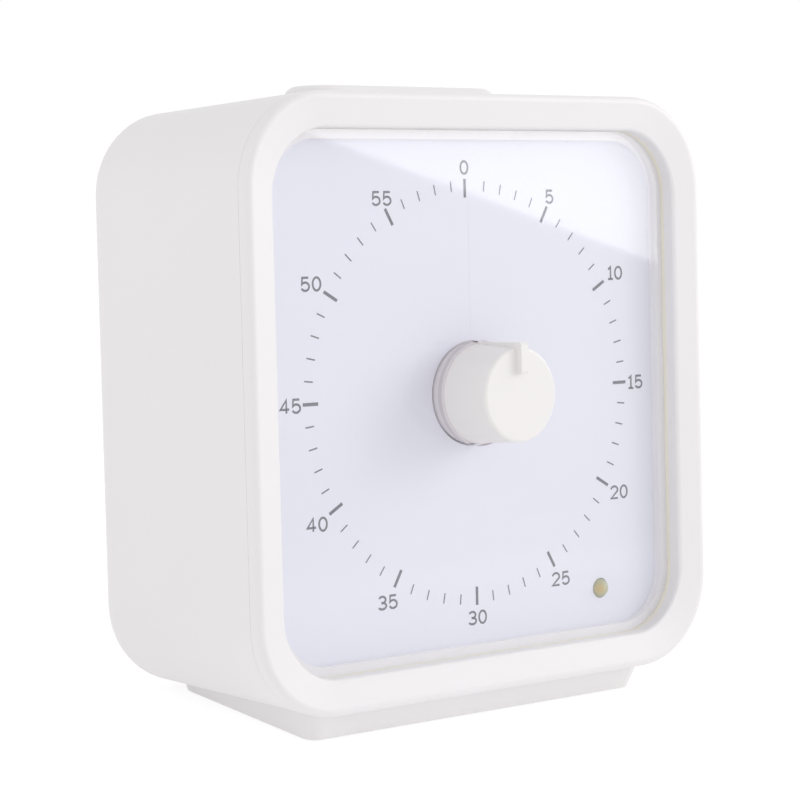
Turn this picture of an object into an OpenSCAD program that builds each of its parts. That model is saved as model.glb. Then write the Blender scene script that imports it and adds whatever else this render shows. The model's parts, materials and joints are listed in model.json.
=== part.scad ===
// Visual countdown timer: a square moulded case that leans back on a wedge foot,
// a printed dial behind a clear lens, and a centre knob that winds a slit colour
// disc. Everything is drawn lying on its back: X is right, Y is up the dial and
// Z points out of the dial, with Z = 0 on the dial's printed face. The last module,
// stood_up(), leans the whole timer back and sets its pads on the table.

/* [Case] */
// Width and height of the square case at its front edge
case_side = 89.2; // [84:0.2:104]
// Corner radius of the case, seen from the front
case_corner_r = 14; // [11:0.5:17]
// Distance from the dial's face forward to the front rim
rim_rise = 5.5; // [5:0.1:6.5]
// Draft of the side walls towards the back, in degrees
case_draft = 1.8; // [0.5:0.1:3]
// Thickness of the side walls
wall = 2.4; // [2:0.1:3]
// Thickness of the rear wall
rear_wall = 2.4; // [2.2:0.1:3]
// Rounding of the rear edge
rear_edge_r = 4; // [3:0.25:5]
// Rounding of the front edge
front_edge_r = 1; // [0.6:0.1:1]
// Distance of the seam between shell and bezel behind the front rim
seam_back = 2.1; // [2.1:0.1:2.6]
// Gap at the seam between bezel and shell
seam = 0.04; // [0.03:0.01:0.1]
// How much lower the bezel's face lies at the window than at the rim
bezel_dish = 0.85; // [0.5:0.05:1]

/* [Window] */
// Width of the rim between the case's edge and the dial
rim_w = 6.7; // [6.6:0.1:9]
// Corner radius of the window
window_corner_r = 8.3; // [6:0.1:10]
// Width of the ledge that the lens lies on
lens_ledge = 1.45; // [1.2:0.05:1.6]
// Thickness of the lip between lens and dial
window_lip = 1.2; // [1:0.1:1.6]
// Rounding of the bezel's inner edge
bezel_round = 0.6; // [0.4:0.1:1]
// Thickness of the lens
lens_t = 1.4; // [1:0.1:1.8]
// Thickness of the lens's adhesive tape
tape_t = 0.15; // [0.1:0.05:0.3]

/* [Stand] */
// Angle that the timer leans back, in degrees
lean = 7.5; // [5:0.5:9]
// Width of the foot across its base
foot_w = 64.6; // [60:0.2:70]
// Height of the foot's front edge below the case
foot_h = 3.9; // [2.9:0.1:8]
// Depth of the foot from front to back
foot_depth = 32; // [26:1:34]
// Corner radius of the foot, seen from below
foot_corner_r = 2; // [1.5:0.25:4]
// How much further each side of the foot reaches at the case than at its base
foot_flare = 1.4; // [0.6:0.1:1.6]
// Size of a non-slip pad across
pad_d = 8; // [6:0.5:9]
// Distance of the pads' middles from the foot's edges
pad_inset = 8; // [7:0.5:9]
// Thickness of the foot's hollow floor
foot_floor = 2; // [1.8:0.1:2.6]
// How far a pad stands out of the foot
pad_proud = 0.3; // [0.2:0.05:0.8]

/* [Dial and disc] */
// Thickness of the printed dial sheet
sheet_t = 0.4; // [0.3:0.05:0.6]
// Radius of the colour disc
disc_r = 28.4; // [24:0.2:29]
// Thickness of the colour disc
disc_t = 0.25; // [0.2:0.05:0.35]
// Gap between the dial sheet and the colour disc
disc_gap = 0.5; // [0.3:0.05:0.6]
// Width of the slit in the dial sheet and in the disc
slit_w = 0.02; // [0.01:0.01:0.1]
// Depth of the plate behind the dial
plate_t = 3.4; // [3:0.1:4]
// Floor of the disc's recess in the plate
plate_floor = 1.6; // [1.2:0.1:1.8]

/* [Knob] */
// Diameter of the knob at its skirt
knob_d = 15; // [12:0.5:18]
// Draft of the knob's side, in degrees
knob_draft = 3.3; // [1:0.1:4]
// Length of the knob
knob_len = 8.6; // [7:0.1:12]
// Gap between the knob and the lens
knob_gap = 0.2; // [0.15:0.05:0.6]
// Width of the pointer fin
fin_w = 1.4; // [1:0.1:2]
// How far the fin stands out of the knob's front face
fin_proud = 1.1; // [0.6:0.1:1.6]
// Length of the fin across the front face
fin_len = 3.9; // [3:0.1:6]
// Diameter of the spindle
spindle_d = 4; // [3.6:0.1:5]
// Running clearance of shafts in their holes, on the radius
run = 0.05; // [0.03:0.01:0.08]

/* [Gear train] */
// Teeth of the spindle gear
spindle_teeth = 48; // [44:4:52]
// Teeth of the intermediate pinion
pinion_teeth = 12; // [11:1:13]
// Module of the spindle gear and its pinion
slow_module = 0.5; // [0.45:0.01:0.52]
// Teeth of the intermediate wheel
wheel_teeth = 40; // [36:2:44]
// Teeth of the rotor's pinion
rotor_teeth = 10; // [9:1:11]
// Module of the intermediate wheel and the rotor's pinion
fast_module = 0.35; // [0.32:0.01:0.38]
// Thickness of the spindle gear
gear_t = 2; // [1.6:0.1:2.4]
// Backlash at the pitch circle
backlash = 0.08; // [0.05:0.01:0.12]
// Pressure angle of the teeth, in degrees
pressure = 20; // [20:1:25]
// Height of the movement's case
movement_h = 9.5; // [9.2:0.1:10]

/* [Top button] */
// Length of the button across the case
button_len = 39; // [30:1:44]
// Width of the button from front to back
button_w = 11; // [9:0.5:14]
// How far the button stands out of the top
button_proud = 2.8; // [2:0.1:3.5]
// Distance of the button behind the dial's face
button_back = 16.8; // [15:0.2:18]
// How far the button travels
button_travel = 0.6; // [0.3:0.1:0.8]
// Wall of the hollow button
button_wall = 1.4; // [1:0.1:1.8]
// Clearance round the button
button_gap = 0.2; // [0.15:0.05:0.4]

/* [Battery bay] */
// Diameter of a cell
cell_d = 14.5; // [10.5:0.5:14.5]
// Length of a cell
cell_len = 50.5; // [44.5:0.5:50.5]
// Gap between a cell and the bay's walls
cell_gap = 0.3; // [0.2:0.05:0.6]
// Room at the cells' ends for the contacts
contact_room = 2.6; // [2.2:0.1:3]
// Height of the bay's middle above the case's bottom edge
bay_up = 24.6; // [24:0.2:28]
// Walls of the bay
bay_wall = 1.3; // [1:0.1:1.6]
// Thickness of the battery door
door_t = 1.3; // [1.1:0.1:1.5]
// Width of the ledge that the door lies on
door_ledge = 1.5; // [1:0.1:1.6]

/* [Board and buzzer] */
// Thickness of the circuit board
board_t = 1.6; // [1:0.1:1.6]
// Room between the movement's lid and the circuit board
board_gap = 1.5; // [1.5:0.1:4]
// Room between the circuit board and the battery bay
bay_room = 1.8; // [1.6:0.1:12]
// Diameter of the indicator LED
led_d = 3; // [2:0.5:3]
// Distance of the LED from the window's right edge
led_in_x = 12.2; // [11.8:0.1:14]
// Distance of the LED from the window's lower edge
led_in_y = 5.8; // [5:0.1:7]
// Diameter of the buzzer
buzzer_d = 22; // [16:1:24]
// Distance of the buzzer's middle below the case's top
buzzer_drop = 23; // [20:0.5:24]
// Thickness of the buzzer
buzzer_t = 5; // [3:0.5:6]
// Diameter of one sound hole
sound_hole_d = 1.8; // [1.2:0.1:2.2]
// Travel of the volume slider from its middle, each way
slider_travel = 2; // [1:0.25:2]

/* [Screws] */
// Diameter of the screws that close the case
case_screw_d = 2.6; // [2.2:0.1:3]
// Diameter of the small screws inside
small_screw_d = 2; // [1.6:0.1:2.2]

/* [Hidden] */
$fn = 64;

white = [0.93, 0.92, 0.925];
steel = [0.72, 0.73, 0.75];
acetal = [0.96, 0.95, 0.9];

// Joins between pieces of one body, and how far a cut runs past a face
slip = 0.03;
over = 1;
slack = 0.3;

half = case_side / 2;
corner_c = half - case_corner_r;
window_half = half - rim_w;
window_c = window_half - window_corner_r;
lens_edge_gap = 0.1;
seam_z = rim_rise - seam_back;
seam_edge = 0.1;
lens_seat_half = window_half + lens_ledge;
lens_seat_r = window_corner_r + lens_ledge;
lens_back = window_lip + tape_t;
lens_front = lens_back + lens_t;
film_gap = 0.02;
foot_drop = half + foot_h;

// Dial stack, from the sheet back to the movement
disc_front = -sheet_t - disc_gap;
disc_back = disc_front - disc_t;
clamp_t = 0.8;
clamp_r = 6;
plate_back = -sheet_t - plate_t;
board_front = plate_back - movement_h - board_gap;
board_back = board_front - board_t;
rear_z = board_back - bay_room - bay_wall - cell_d - 2 * cell_gap - rear_wall;
case_depth = -rear_z;
recess_z = plate_back + plate_floor;
recess_r = disc_r + 1.2;
plate_half = window_half + 3.5;
plate_corner_r = plate_half - corner_c;
hub_r = knob_d / 2 + 0.1;
hub_hole_r = hub_r + slack;
knob_back = lens_front + knob_gap;
knob_face = knob_back + knob_len;
knob_r = knob_d / 2;
knob_face_r = knob_r - knob_len * tan(knob_draft);
fin_top = knob_r + 0.25;
knob_edge = 0.5;
knob_edge_c = knob_face_r + knob_edge * tan(knob_draft) - knob_edge / cos(knob_draft);

// Movement, from the plate back to its lid
movement_wall = 1.1;
movement_back = plate_back - movement_h;
floor_z = plate_back - movement_wall;
lid_z = movement_back + movement_wall;
collar_r = 3;
collar_t = 0.45;
gear_front = floor_z - 0.15 - collar_t;
gear_back = gear_front - gear_t;
spring_t = 0.6;
clip_t = 0.6;
clip_groove_r = spindle_d / 2 - 0.4;
spindle_flat = spindle_d * 0.36;
pin_r = 0.75;
slow_centres = slow_module * (spindle_teeth + pinion_teeth) / 2;
fast_centres = fast_module * (wheel_teeth + rotor_teeth) / 2;
mesh_angle = 60;
mid_x = slow_centres;
rotor_x = mid_x + fast_centres * cos(mesh_angle);
rotor_y = fast_centres * sin(mesh_angle);
pinion_front = gear_front + 0.2;
pinion_t = gear_t + 1;
wheel_front = pinion_front - pinion_t - 0.4;
wheel_t = 1.3;
magnet_r = 3;
magnet_front = gear_front + 0.1;
magnet_t = 2.4;
stator_z = gear_front - 0.8;
stator_t = 1;
coil_y = rotor_y + 10;
coil_r = 2.6;
coil_half = 5.6;
coil_core = 1;
movement_left = -14.6;
movement_right = rotor_x + 11.4;
movement_low = -14.6;
movement_high = coil_y + coil_r + 1.9;
movement_screw_at = [[movement_left + 3, movement_low + 3],
                     [movement_right - 3, movement_low + 3],
                     [movement_left + 3, movement_high - 3]];

// Posts and screws
plate_screw_at = half - 7.4;
post_at = half - 11.6;
post_r = 3;
post_meet = -20;
tube_r = 3.2;
tube_floor = 5;
case_screw_len = 12;
screw_head_r = 2.4;
screw_head_t = 1.6;
small_head_r = 1.75;
small_head_t = 1.2;
small_grip = 4;
plate_head_depth = 1.4;
plate_screw_len = 4.6;

// Circuit board, between the four corner posts
board_w = 2 * (post_at - post_r - 1);
board_top = half - 11;
board_low = -half + 9.5;
board_post_x = board_w / 2 - 4;
board_post_r = 2.2;
board_post_at = [[-board_post_x, board_top - 5.5], [board_post_x, board_top - 5.5],
                 [-board_post_x, board_low + 10.5], [board_post_x - 7, board_low + 10.5]];
led_x = window_half - led_in_x;
led_down = window_half - led_in_y;
lead_pitch = 2.54;
lead_r = 0.25;
chip = [8, 5, 1.5];
chip_at = [-14, 21];
capacitor_r = 2.5;
capacitor_h = 5.5;
capacitor_at = [6, 23];
crystal = [6, 2.2, 1.2];
crystal_at = [-3, 12];

// Battery bay, from the outside in
bay_y = -half + bay_up;
cell_nub_r = 2.7;
bay_w = cell_len + 2 * contact_room;
bay_h = 2 * cell_d + 3 * cell_gap;
door_seat = rear_z + door_t + 0.05;
bay_open = rear_z + rear_wall;
cell_z = bay_open + cell_gap + cell_d / 2;
bay_floor = cell_z + cell_d / 2 + cell_gap;
door_gap = 0.2;
door_half_w = bay_w / 2 + door_ledge;
door_half_h = bay_h / 2 + door_ledge;
door_corner_r = 2;

// Buzzer and volume switch on the rear wall
inner_rear = rear_z + rear_wall;
buzzer_x = -10;
buzzer_y = half - buzzer_drop;
buzzer_port_r = 1.5;
sound_pitch = 3.2;
sound_rings = 2;
slider_x = half - 25;
slider_y = buzzer_y;
slider_nub = [3, 3.4];
slot_h = slider_nub[1] + 0.5;
slot_w = slider_nub[0] + 2 * slider_travel + 0.6;
switch_w = 13;
switch_h = 6.4;
switch_t = 4;
switch_hollow = 1.7;

// Half width of the case at a depth behind its front plane
function side_at(z) = half - (rim_rise - z) * tan(case_draft);
button_z = -button_back;
top_at_button = side_at(button_z);
flange_t = 1.2;
flange_top = side_at(button_z - button_w / 2 - 1.5) - wall - 0.15;
stem_z = board_back - 2.1;
// Height of the switch plunger above the board's edge
plunger_up = 1.6 + button_travel;

// ---- Shapes shared by several pieces ----

// Sweeps a profile (x out from a corner's centre, y along Z) round a rounded rectangle
// whose corner centres lie at +-cx, +-cy
module frame_sweep(cx, cy) for (i = [0:3]) {
    a = i % 2 == 0 ? cx : cy;
    b = i % 2 == 0 ? cy : cx;
    rotate(90 * i) {
        translate([a, b, 0]) rotate_extrude(angle = 90) children();
        translate([a, 0, 0]) rotate([90, 0, 0]) linear_extrude(2 * b, center = true) children();
    }
}

// The same, filled in the middle between two heights
module filled_sweep(cx, cy, z0, z1) {
    frame_sweep(cx, cy) children();
    translate([-cx, -cy, z0]) cube([2 * cx, 2 * cy, z1 - z0]);
}

module rounded_square(h, r) {
    square([2 * h, 2 * (h - r)], center = true);
    square([2 * (h - r), 2 * h], center = true);
    for (x = [-1, 1], y = [-1, 1]) translate([x * (h - r), y * (h - r)]) circle(r);
}

module rounded_rect(hw, hh, r) {
    square([2 * hw, 2 * (hh - r)], center = true);
    square([2 * (hw - r), 2 * hh], center = true);
    for (x = [-1, 1], y = [-1, 1]) translate([x * (hw - r), y * (hh - r)]) circle(r);
}

// Extrudes the outline from one height to another
module slab(z0, z1) translate([0, 0, min(z0, z1)]) linear_extrude(abs(z1 - z0)) children();

module rod(r, z0, z1) translate([0, 0, min(z0, z1)]) cylinder(r = r, h = abs(z1 - z0));

module at_corners(d) for (x = [-d, d], y = [-d, d]) translate([x, y, 0]) children();

// How far out of a corner's centre an end rounding of radius r lies, its middle at depth z
function round_at(t, z, r) = case_corner_r - t - (rim_rise - z) * tan(case_draft) - r / cos(case_draft);

// Profile of a drafted wall: t in from the outside, rounded at both ends and filled inwards
// to u_in, with its front face falling inwards by the angle of the dish
module wall_profile(t, z_front, r_front, z_back, r_back, dish = 0, u_in = 0) {
    uf = round_at(t, z_front - r_front, r_front);
    ub = round_at(t, z_back + r_back, r_back);
    out = cos(case_draft);
    down = sin(case_draft);
    face_u = uf - r_front * sin(dish);
    face_z = z_front - r_front * (1 - cos(dish));
    polygon([[u_in, face_z - (face_u - u_in) * tan(dish)], [face_u, face_z],
             [uf + r_front * out, z_front - r_front - r_front * down],
             [ub + r_back * out, z_back + r_back - r_back * down],
             [ub, z_back], [u_in, z_back]]);
    translate([uf, z_front - r_front]) circle(r_front);
    translate([ub, z_back + r_back]) circle(r_back);
}

// Outline of a bore with a flat, for the spindle's D-shaped end
module d_hole(r, flat) intersection() {
    circle(r);
    translate([-r - over, -flat]) square([2 * (r + over), r + flat + over]);
}

// Involute gear outline, one tooth centred on the X axis
function involute_deg(a) = tan(a) * 180 / PI - a;
function flank_deg(teeth, m, r) =
    let (pitch = m * teeth / 2, base = pitch * cos(pressure))
    (90 / teeth) - backlash / 2 / pitch * 180 / PI
    + involute_deg(pressure) - involute_deg(acos(min(1, base / max(r, base))));
module gear_outline(teeth, m) {
    pitch = m * teeth / 2;
    base = pitch * cos(pressure);
    root = pitch - 1.25 * m;
    tip = pitch + 0.9 * m;
    start = max(root, base);
    steps = 3;
    flank = [for (i = [0:steps]) start + (tip - start) * i / steps];
    foot = start > root ? [root] : [];
    radii = concat(foot, flank);
    last = len(radii) - 1;
    polygon([for (k = [0:teeth - 1], side = [-1, 1], i = [0:last])
        let (r = side < 0 ? radii[i] : radii[last - i],
             a = 360 * k / teeth + side * flank_deg(teeth, m, r))
        [r * cos(a), r * sin(a)]]);
}

// A pan-head screw whose head's underside lies at Z = 0 and whose thread runs to +Z
module screw(d, length, head_r, head_t) {
    difference() {
        rod(head_r, -head_t, 0);
        for (a = [0, 90]) rotate(a)
            translate([0, 0, -head_t]) cube([head_r * 1.1, 0.5, head_t], center = true);
    }
    rod(d / 2, -slip, length);
}

// ---- Case ----

foot_half = foot_w / 2;
pad_recess = 0.6;
foot_front_z = 0.45;
foot_rise = tan(lean);

foot_back_z = foot_front_z - foot_depth * cos(lean);
foot_root = -half + rear_edge_r;

// Height of the foot's underside, raised by t, at a depth
function foot_low(z, t = 0) = -foot_drop + (foot_front_z - z) * foot_rise + t / cos(lean);

// Block of width w between two depths, down to the foot's underside raised by t
module foot_block(w, z0, z1, t = 0) rotate([90, 0, 90]) linear_extrude(w, center = true)
    polygon([[foot_low(z0, t), z0], [foot_root, z0], [foot_root, z1], [foot_low(z1, t), z1]]);

// Wedge under the case, drawn standing on the table; its walls flare out up to the case
module foot_wedge() {
    spread = foot_flare / foot_h;
    top = foot_h + over;
    translate([0, -foot_drop, foot_front_z]) rotate([lean - 90, 0, 0]) translate([0, foot_depth / 2, 0])
        filled_sweep(foot_half - foot_corner_r, foot_depth / 2 - foot_corner_r, 0, top)
        polygon([[0, 0], [foot_corner_r, 0], [foot_corner_r + spread * top, top], [0, top]]);
}

// Pockets that core the foot out from inside, parted by ribs
module foot_cores() {
    bays = 4;
    rib = 1.2;
    inner = 2 * (foot_half - wall);
    bay_len = (inner - (bays - 1) * rib) / bays;
    for (i = [0:bays - 1]) translate([-inner / 2 + bay_len / 2 + i * (bay_len + rib), 0, 0])
        foot_block(bay_len, foot_front_z - wall, foot_back_z + wall, foot_floor);
}

module pad_places() for (x = [-1, 1], z = [foot_front_z - pad_inset, foot_back_z + pad_inset])
    translate([x * (foot_half - pad_inset), foot_low(z), z]) rotate([90 + lean, 0, 0]) children();

module rear_shell() color(white) {
    difference() {
        union() {
            difference() {
                union() {
                    filled_sweep(corner_c, corner_c, rear_z, seam_z - seam)
                        wall_profile(0, seam_z - seam, seam_edge, rear_z, rear_edge_r);
                    foot_wedge();
                }
                foot_cores();
                filled_sweep(corner_c, corner_c, inner_rear, rim_rise)
                    wall_profile(wall, rim_rise + over, over / 2, inner_rear, rear_edge_r - wall);
            }
            at_corners(post_at) rod(tube_r, inner_rear - slip, post_meet - slip);
            slab(inner_rear - slip, bay_floor + bay_wall) translate([0, bay_y])
                square([bay_w + 2 * bay_wall, bay_h + 2 * bay_wall], center = true);
            translate([buzzer_x, buzzer_y, 0]) slab(inner_rear - slip, inner_rear + buzzer_t - over)
                circle(buzzer_d / 2 + 1.3);
        }
        // battery bay, and the seat of its door
        slab(rear_z - over, bay_floor) translate([0, bay_y]) square([bay_w, bay_h], center = true);
        slab(rear_z - over, door_seat) translate([0, bay_y])
            rounded_rect(door_half_w, door_half_h, door_corner_r);
        // finger notch above the door's latch
        translate([0, bay_y + door_half_h, rear_z]) sphere(r = 2.6);
        // screw holes in the four tubes
        at_corners(post_at) {
            rod(case_screw_d / 2 + 0.15, rear_z - over, post_meet + over);
            rod(screw_head_r + 0.2, rear_z - over, post_meet - tube_floor);
        }
        // buzzer seat and sound holes
        translate([buzzer_x, buzzer_y, 0]) {
            slab(inner_rear, 0) circle(buzzer_d / 2 + slip);
            rod(sound_hole_d / 2, rear_z - over, inner_rear + over);
            for (ring = [1:sound_rings], i = [0:6 * ring - 1]) rotate(60 * i / ring)
                translate([ring * sound_pitch, 0, 0])
                rod(sound_hole_d / 2, rear_z - over, inner_rear + over);
        }
        // slot of the volume slider, in a shallow recess
        translate([slider_x, slider_y, 0]) {
            slab(rear_z - over, inner_rear + over) square([slot_w, slot_h], center = true);
            slab(rear_z - over, rear_z + 0.8) rounded_rect(slot_w / 2 + 1.2, slot_h / 2 + 1.2, 1.5);
        }
        // slot of the top button
        rotate([-90, 0, 0]) slab(half - 2 * wall - over, half + over) translate([0, button_back])
            rounded_rect(button_len / 2 + button_gap, button_w / 2 + button_gap,
                         button_w / 2 + button_gap - slip);
        // recesses of the pads
        pad_places() rod(pad_d / 2 + slip, -pad_recess, over);
    }
}

// Slope of the bezel's face, and where it meets the window's wall
face_run = round_at(0, rim_rise - front_edge_r, front_edge_r) + corner_c - lens_seat_half;
dish = atan(bezel_dish / face_run);
edge_z = rim_rise - bezel_dish + bezel_round * tan(dish) - bezel_round / cos(dish);

module front_bezel() color(white) {
    inner = side_at(0) - wall - slack;
    u_in = window_half - corner_c;
    edge_u = lens_seat_r + bezel_round;
    difference() {
        union() {
            frame_sweep(corner_c, corner_c)
                wall_profile(0, rim_rise, front_edge_r, seam_z, seam_edge, dish, u_in);
            slab(0, seam_z + slip) rounded_square(inner, inner - corner_c);
        }
        // window, with a ledge for the lens and a rounded inner edge
        slab(-over, window_lip + over) rounded_square(window_half, window_corner_r);
        filled_sweep(window_c, window_c, window_lip, rim_rise + over) difference() {
            polygon([[0, window_lip], [lens_seat_r, window_lip], [lens_seat_r, edge_z], [edge_u, edge_z],
                     [edge_u - bezel_round * sin(dish), edge_z + bezel_round * cos(dish)],
                     [edge_u - bezel_round * sin(dish), rim_rise + over], [0, rim_rise + over]]);
            translate([edge_u, edge_z]) circle(bezel_round);
        }
        // pilot holes for the plate's screws
        at_corners(plate_screw_at) rod(small_screw_d / 2 - 0.2, -over, 3.4);
    }
}

module lens() color([0.9, 0.95, 1, 0.25]) slab(lens_back, lens_front) difference() {
    rounded_square(lens_seat_half - lens_edge_gap, lens_seat_r - lens_edge_gap);
    circle(hub_hole_r);
}

module lens_tape() color([0.93, 0.93, 0.92]) slab(window_lip, lens_back - film_gap) difference() {
    rounded_square(lens_seat_half - lens_edge_gap, lens_seat_r - lens_edge_gap);
    rounded_square(window_half + slip, window_corner_r + slip);
}

module dial_sheet() color([0.9, 0.905, 0.95]) slab(-sheet_t, 0) difference() {
    rounded_square(window_half + 1.7, window_corner_r + 2.2);
    circle(hub_hole_r);
    translate([-slit_w / 2, 0]) square([slit_w, disc_r + 0.5]);
    translate([led_x, -led_down]) circle(led_d / 2 + 0.05);
}

module dial_plate() color([0.86, 0.86, 0.88]) difference() {
    union() {
        slab(plate_back, -sheet_t) rounded_square(plate_half, plate_corner_r);
        at_corners(post_at) rod(post_r, plate_back + slip, post_meet);
        for (p = board_post_at) translate(p) rod(board_post_r, plate_back + slip, board_front);
    }
    // recess that the colour disc turns in
    rod(recess_r, recess_z, over);
    rod(spindle_d / 2 + slack, plate_back - over, 0);
    at_corners(plate_screw_at) {
        rod(small_screw_d / 2 + 0.1, plate_back - over, over);
        rod(small_head_r + 0.2, plate_back - over, plate_back + plate_head_depth);
    }
    at_corners(post_at) rod(case_screw_d / 2 - slack, post_meet - over, post_meet + 9);
    for (p = board_post_at) translate(p)
        rod(small_screw_d / 2 - 0.2, board_front - over, board_front + small_grip + over);
    translate([led_x, -led_down, 0]) rod(led_d / 2 + 0.15, plate_back - over, over);
    for (p = movement_screw_at) translate(p)
        rod(small_screw_d / 2 - 0.2, plate_back - over, recess_z + over);
}

// ---- Disc, knob and spindle ----

module time_disc() color([0.86, 0.2, 0.16]) slab(disc_back, disc_front) difference() {
    circle(disc_r);
    d_hole(spindle_d / 2 + slip, spindle_flat + slip);
    translate([-slit_w / 2, hub_r]) square([slit_w, disc_r]);
}

module disc_hub() color([0.8, 0.78, 0.79]) difference() {
    rod(hub_r, disc_front, knob_back);
    slab(disc_front - over, knob_back + over) d_hole(spindle_d / 2 + slip, spindle_flat + slip);
    difference() {
        rod(hub_r - 1.6, disc_front + 1, knob_back + over);
        rod(spindle_d / 2 + 1.4, disc_front, knob_back);
    }
}

module disc_clamp() color(acetal) slab(disc_back - clamp_t, disc_back) difference() {
    circle(clamp_r);
    d_hole(spindle_d / 2 + slip, spindle_flat + slip);
}

module knob() color([0.94, 0.93, 0.93]) {
    bore_top = knob_face - 2;
    fin_low = knob_face_r - fin_len;
    fin_front = knob_face + fin_proud;
    chamfer = 0.4;
    difference() {
        union() {
            rotate_extrude() {
                polygon([[0, knob_back], [knob_r, knob_back],
                         [knob_edge_c + knob_edge * cos(knob_draft),
                          knob_face - knob_edge * (1 - sin(knob_draft))],
                         [knob_edge_c, knob_face], [0, knob_face]]);
                intersection() {
                    translate([knob_edge_c, knob_face - knob_edge]) circle(knob_edge);
                    square([knob_r, knob_face + over]);
                }
            }
            // pointer fin along the side and across the face
            rotate([90, 0, 90]) linear_extrude(fin_w, center = true)
                polygon([[fin_low, knob_back], [fin_low, fin_front - chamfer],
                         [fin_low + chamfer, fin_front], [fin_top - chamfer, fin_front],
                         [fin_top, fin_front - chamfer], [fin_top, knob_back]]);
        }
        slab(knob_back - over, bore_top) d_hole(spindle_d / 2 + slip, spindle_flat + slip);
        // cored-out underside
        difference() {
            rod(knob_face_r - 1.6, knob_back - over, bore_top - 1);
            rod(spindle_d / 2 + 1.6, knob_back - 2 * over, bore_top);
        }
    }
}

module spindle() color(steel) {
    rear_end = movement_back - 0.5;
    front_end = knob_face - 2.4;
    difference() {
        union() {
            rod(spindle_d / 2, rear_end, front_end);
            rod(collar_r, gear_front, gear_front + collar_t);
        }
        // flat of the D-shaped front end
        translate([-spindle_d, -spindle_flat - spindle_d, disc_back - clamp_t])
            cube([2 * spindle_d, spindle_d, case_side]);
        // groove of the retaining clip
        difference() {
            rod(spindle_d, gear_back - spring_t - clip_t, gear_back - spring_t);
            rod(clip_groove_r, rear_end, front_end);
        }
    }
}

module spindle_gear() color(acetal) difference() {
    slab(gear_back, gear_front) gear_outline(spindle_teeth, slow_module);
    rod(spindle_d / 2 + slip, gear_back - over, gear_front + over);
    // lightening recess between rim and hub
    difference() {
        rod(slow_module * spindle_teeth / 2 - 2.2, gear_front - 0.6, gear_front + over);
        rod(collar_r + 1.2, gear_front - over, gear_front + 2 * over);
    }
}

// A dished spring washer
module clutch_spring() color(steel) {
    z0 = gear_back - spring_t;
    inner = spindle_d / 2 + 0.1;
    outer = 5;
    leaf = 0.25;
    rotate_extrude() polygon([[inner, z0], [inner + leaf, z0], [outer, gear_back - leaf],
                              [outer, gear_back], [outer - leaf, gear_back], [inner, z0 + leaf]]);
}

// An E-clip in its groove
module retaining_clip() color(steel) slab(gear_back - spring_t - clip_t, gear_back - spring_t) difference() {
    circle(4);
    circle(clip_groove_r + slip);
    translate([-clip_groove_r - slip, 0]) square([2 * (clip_groove_r + slip), 5]);
    for (a = [205, 335]) rotate(a) translate([2.6, 0]) circle(0.7);
}

// ---- Gear train and motor ----

module intermediate_gear() color(acetal) translate([mid_x, 0, 0]) difference() {
    union() {
        slab(pinion_front - pinion_t, pinion_front) rotate(180 - 180 / pinion_teeth)
            gear_outline(pinion_teeth, slow_module);
        slab(wheel_front - wheel_t, wheel_front) rotate(mesh_angle) gear_outline(wheel_teeth, fast_module);
        rod(2, wheel_front - wheel_t - 0.4, pinion_front);
    }
    rod(pin_r + run, movement_back, plate_back);
}

module gear_pin() color(steel) translate([mid_x, 0, 0]) rod(pin_r, lid_z - 0.6, floor_z + 0.6);

module motor_rotor() translate([rotor_x, rotor_y, 0]) {
    pinion_z = wheel_front + 0.3;
    color([0.3, 0.3, 0.32]) rod(magnet_r, magnet_front - magnet_t, magnet_front);
    color(acetal) {
        slab(pinion_z - wheel_t - 0.6, pinion_z) rotate(mesh_angle + 180 - 180 / rotor_teeth)
            gear_outline(rotor_teeth, fast_module);
        rod(1, pinion_z - slip, magnet_front - magnet_t + slip);
    }
    color(steel) rod(0.5, lid_z - 0.6, floor_z + 0.6);
}

module motor_stator() color(steel) slab(stator_z - stator_t, stator_z) difference() {
    union() {
        translate([rotor_x, rotor_y]) circle(magnet_r + 2.2);
        for (x = [-1, 1]) translate([rotor_x + x * (coil_half + 1.8), 0])
            translate([-1.4, rotor_y + 2.5]) square([2.8, coil_y - rotor_y]);
        translate([rotor_x - coil_half - 3.2, rotor_y + 2.5]) square([2 * coil_half + 6.4, 2.6]);
    }
    translate([rotor_x, rotor_y]) circle(magnet_r + 0.5);
}

module motor_coil() {
    spool = 0.6;
    translate([rotor_x, coil_y, stator_z - stator_t - coil_core / 2]) {
        rotate([0, 90, 0]) {
            color([0.75, 0.42, 0.2]) rod(coil_r - 0.4, -coil_half + spool, coil_half - spool);
            color(acetal) for (x = [-coil_half, coil_half - spool]) rod(coil_r, x, x + spool);
        }
        // core that bridges the stator's two legs
        color(steel) cube([2 * coil_half + 6.4, 2.6, coil_core], center = true);
    }
}

module movement_case() color([0.3, 0.31, 0.33]) {
    hw = (movement_right - movement_left) / 2;
    hh = (movement_high - movement_low) / 2;
    difference() {
        union() {
            difference() {
                slab(lid_z, plate_back) translate([movement_left + hw, movement_low + hh])
                    rounded_rect(hw, hh, 2);
                slab(lid_z - over, floor_z) translate([movement_left + hw, movement_low + hh])
                    rounded_rect(hw - movement_wall, hh - movement_wall, 1);
            }
            for (p = movement_screw_at) translate(p) rod(2.2, lid_z, floor_z + slip);
            translate([mid_x, 0, 0]) rod(1.8, pinion_front + 0.1, floor_z + slip);
        }
        rod(spindle_d / 2 + run, floor_z - over, plate_back + over);
        translate([mid_x, 0, 0]) rod(pin_r + slip, floor_z - over, floor_z + 0.6);
        translate([rotor_x, rotor_y, 0]) rod(0.5 + run, floor_z - over, floor_z + 0.6);
        for (p = movement_screw_at) translate(p)
            rod(small_screw_d / 2 + 0.1, lid_z - over, plate_back + over);
    }
}

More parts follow.
